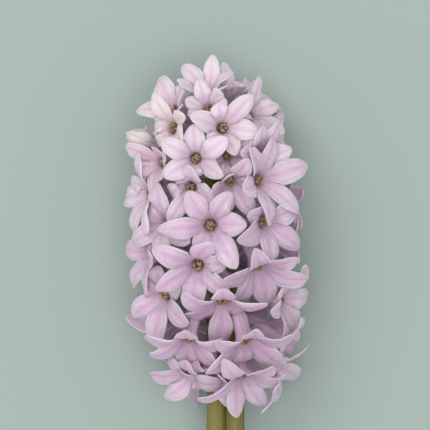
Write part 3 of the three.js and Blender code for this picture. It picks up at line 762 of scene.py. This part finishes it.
anther_skin, tree, shader = new_material("anther_skin")
place = add(tree, "ShaderNodeTexCoord").outputs["Object"]
dust = stretched_noise(tree, place, (1500.0, 1500.0, 1500.0), detail=3.0)
brown, pollen = rgba(srgb(118, 92, 70)), rgba(srgb(196, 172, 122))
body = mixed(tree, ramp(tree, dust, 0.42, 0.66), brown, pollen)
bump = add(tree, "ShaderNodeBump", {"Height": dust, "Strength": 0.5, "Distance": 0.0002})
fill(tree, shader, {
    "Base Color": body, "Roughness": 0.75, "Normal": bump.outputs["Normal"],
    "Sheen Weight": 0.1})

pistil_flesh, tree, shader = new_material("pistil_flesh")
place = add(tree, "ShaderNodeTexCoord").outputs["Object"]
dew = stretched_noise(tree, place, (900.0, 900.0, 900.0))
body = mixed(tree, dew, rgba(srgb(206, 200, 160)), rgba(srgb(232, 222, 206)))
fill(tree, shader, {
    "Base Color": body, "Roughness": 0.4, "Subsurface Weight": 0.3,
    "Subsurface Scale": 0.001, "Subsurface Radius": (1.0, 0.8, 0.5)})

rise = np.linspace(-1, 1, ANTHER_ROWS)
lobe = np.sqrt(np.maximum(0, 1 - np.abs(rise) ** 2.6))
anthers, stems = [], []
for floret in settled:
    if floret.bend < 0:
        continue
    size, axis, n = floret.size, floret.axis, floret.number
    for k in range(TEPALS):
        out = floret.spoke(floret.turn + 60 * k + STRAY_DEGREES * spread(n, k, 9))
        beside = floret.spoke(floret.turn + 60 * k + 90)
        lean = axis - out * (ANTHER_LEAN + LEAN_SPREAD * spread(n, k, 10))
        lean = unit(lean + beside * SIDE_LEAN_SPREAD * spread(n, k, 13))
        back = ANTHER_BACK + BACK_SPREAD * spread(n, k, 11)
        apart = ANTHER_CIRCLE + CIRCLE_SPREAD * spread(n, k, 14)
        middle = floret.mouth + (out * apart - axis * back) * size
        path = middle + lean * (rise * ANTHER_HALF_LENGTH * size)[:, None]
        anthers.append(turned_body(
            path, lobe * ANTHER_RADIUS * size, -out, ANTHER_COLUMNS, groove=ANTHER_GROOVE))
        root = floret.mouth + (out * FILAMENT_CIRCLE - axis * FILAMENT_BACK) * size
        stalk = lerp(root, middle, np.array([0.0, 0.0, 0.5, 1.0])[:, None])
        thread = FILAMENT_RADIUS * size * np.array([0.0, 1.4, 1.0, 0.7])
        stems.append(turned_body(stalk, thread, axis + out, FILAMENT_COLUMNS))
    foot = floret.mouth - axis * STYLE_FOOT_BACK * size
    top = floret.mouth - axis * STIGMA_BACK * size
    style = lerp(foot, top, np.array([0.0, 0.0, 0.6, 0.8, 0.88, 0.97, 1.0])[:, None])
    knob = STIGMA_RADIUS * size * np.array([0.0, 0.7, 0.55, 0.6, 1.0, 0.9, 0.0])
    stems.append(turned_body(style, knob, floret.up, PISTIL_COLUMNS))

for name, bodies, material in (
        ("anthers", anthers, anther_skin), ("filaments_and_pistils", stems, pistil_flesh)):
    triangles, count = [], 0
    for body in bodies:
        rows, columns = body.shape[:2]
        triangles.append(cells(rows, columns, ring=True) + count)
        count += rows * columns
    points = np.concatenate([body.reshape(-1, 3) for body in bodies])
    put_mesh(name, points, np.concatenate(triangles), material)

# ------------------------------------------------------------------------------- the bracts
# A small, pointed, papery bract stands at the foot of each pedicel, except on the stalks' ends.
# It grows from the stalk below the pedicel and leans along it, mostly hidden by the florets.
BRACT_LENGTH = 5.0
BRACT_HALF_WIDTH = 1.1
BRACT_HALF_THICKNESS = 0.16
BRACT_CUP = 0.5
BRACT_LEAN = 0.7
BRACT_FULLNESS = 1.6
BRACT_GAP = 0.2
BRACT_ROWS = 10
BRACT_COLUMNS = 12

bract_skin, tree, shader = new_material("bract_skin")
place = add(tree, "ShaderNodeTexCoord").outputs["Object"]
fibre = stretched_noise(tree, place, (1400.0, 260.0, 1400.0), detail=3.0)
straw, blush = rgba(srgb(196, 184, 158)), rgba(srgb(222, 206, 206))
body = mixed(tree, ramp(tree, fibre, 0.4, 0.66), straw, blush)
fill(tree, shader, {
    "Base Color": body, "Roughness": 0.6, "Subsurface Weight": 0.4,
    "Subsurface Scale": 0.001, "Subsurface Radius": (1.0, 0.9, 0.6)})


def leaflet(foot, out, along):
    """A thin pointed body: rings whose width grows as the square root of the way up and falls
    to nothing at the tip, cupped by the square of the way across and curling towards along."""
    s = (1 - np.cos(np.linspace(0, math.pi, BRACT_ROWS))) / 2
    a = np.linspace(0, 2 * math.pi, BRACT_COLUMNS, endpoint=False)
    width = BRACT_HALF_WIDTH * BRACT_FULLNESS * np.sqrt(s) * (1 - s)
    middle = foot + BRACT_LENGTH * (s[:, None] * out + (BRACT_LEAN * s**2)[:, None] * along)
    flat = (width[:, None] * np.cos(a))[..., None] * np.cross(along, out)
    thick = BRACT_HALF_THICKNESS * np.sqrt(1 - (2 * s - 1) ** 2)[:, None] * np.sin(a)
    cup = BRACT_CUP * width[:, None] * np.cos(a) ** 2
    return middle[:, None] + flat + (thick + cup)[..., None] * along


leaflets = []
for floret in settled:
    if floret.seat != STALK_TOP:
        line, direction, radius, _ = tube_path(floret)
        along = np.array([0.0, 1.0, 0.0])
        leaflets.append(leaflet(line[0] - along * (radius[0] + BRACT_GAP), direction[0], along))
rings = cells(BRACT_ROWS, BRACT_COLUMNS, ring=True)
triangles = np.concatenate([rings + i * BRACT_ROWS * BRACT_COLUMNS for i in range(len(leaflets))])
put_mesh("bracts", np.concatenate(leaflets).reshape(-1, 3), triangles, bract_skin)

# ------------------------------------------------------------------------------ the floor
# A plain pale surface, wider than any view.
FLOOR_HALF = 3.0
floor_mesh = bpy.data.meshes.new("floor")
floor_mesh.from_pydata(
    [(x * FLOOR_HALF, y * FLOOR_HALF, 0.0) for x, y in ((-1, -1), (1, -1), (1, 1), (-1, 1))],
    [], [(0, 1, 2, 3)])
floor = bpy.data.objects.new("floor", floor_mesh)
bpy.context.scene.collection.objects.link(floor)
floor_paint, tree, shader = new_material("floor_paint")
place = add(tree, "ShaderNodeTexCoord").outputs["Object"]
cloud = stretched_noise(tree, place, (3.0, 3.0, 3.0), detail=2.0)
paint = mixed(tree, cloud, rgba(srgb(153, 165, 158)), rgba(srgb(156, 168, 161)))
fill(tree, shader, {"Base Color": paint, "Roughness": 0.9, "Specular IOR Level": 0.1})
floor_mesh.materials.append(floor_paint)

# ------------------------------------------------------------------- the light and the camera
# Broad soft light from the upper left with an even fill, and a camera straight above the head.
CAMERA_HEIGHT = 1200.0
SENSOR = 36.0
VIEW_WIDTH = 189.2
VIEW_MIDDLE = (-1.32, 8.36)
SKY = (0.93, 0.96, 1.0, 1.0)
SKY_STRENGTH = 0.72


def soft_light(name, place, size, power, colour):
    """A square light of some size, turned to look at the flower."""
    lamp = bpy.data.lights.new(name, "AREA")
    lamp.shape = "SQUARE"
    lamp.size = size
    lamp.energy = power
    lamp.color = colour
    holder = bpy.data.objects.new(name, lamp)
    holder.location = place
    holder.rotation_euler = (-holder.location).to_track_quat("-Z", "Y").to_euler()
    bpy.context.scene.collection.objects.link(holder)


soft_light("key_light", (-0.62, 0.62, 1.45), 0.8, 9.0, (1.0, 0.985, 0.97))
soft_light("fill_light", (0.1, -0.1, 1.7), 1.0, 13.0, (0.97, 0.98, 1.0))
world = bpy.data.worlds.new("studio")
world.use_nodes = True
fill(world.node_tree, world.node_tree.nodes["Background"], {
    "Color": SKY, "Strength": SKY_STRENGTH})
bpy.context.scene.world = world
bpy.context.scene.view_settings.view_transform = "Standard"

lens = bpy.data.cameras.new("camera")
lens.sensor_width = SENSOR
lens.lens = SENSOR * CAMERA_HEIGHT / VIEW_WIDTH
camera = bpy.data.objects.new("camera", lens)
camera.location = (
    (VIEW_MIDDLE[0] + SHIFT[0]) * MM, (VIEW_MIDDLE[1] + SHIFT[1]) * MM,
    (AXIS_HEIGHT + CAMERA_HEIGHT) * MM)
bpy.context.scene.collection.objects.link(camera)
bpy.context.scene.camera = camera
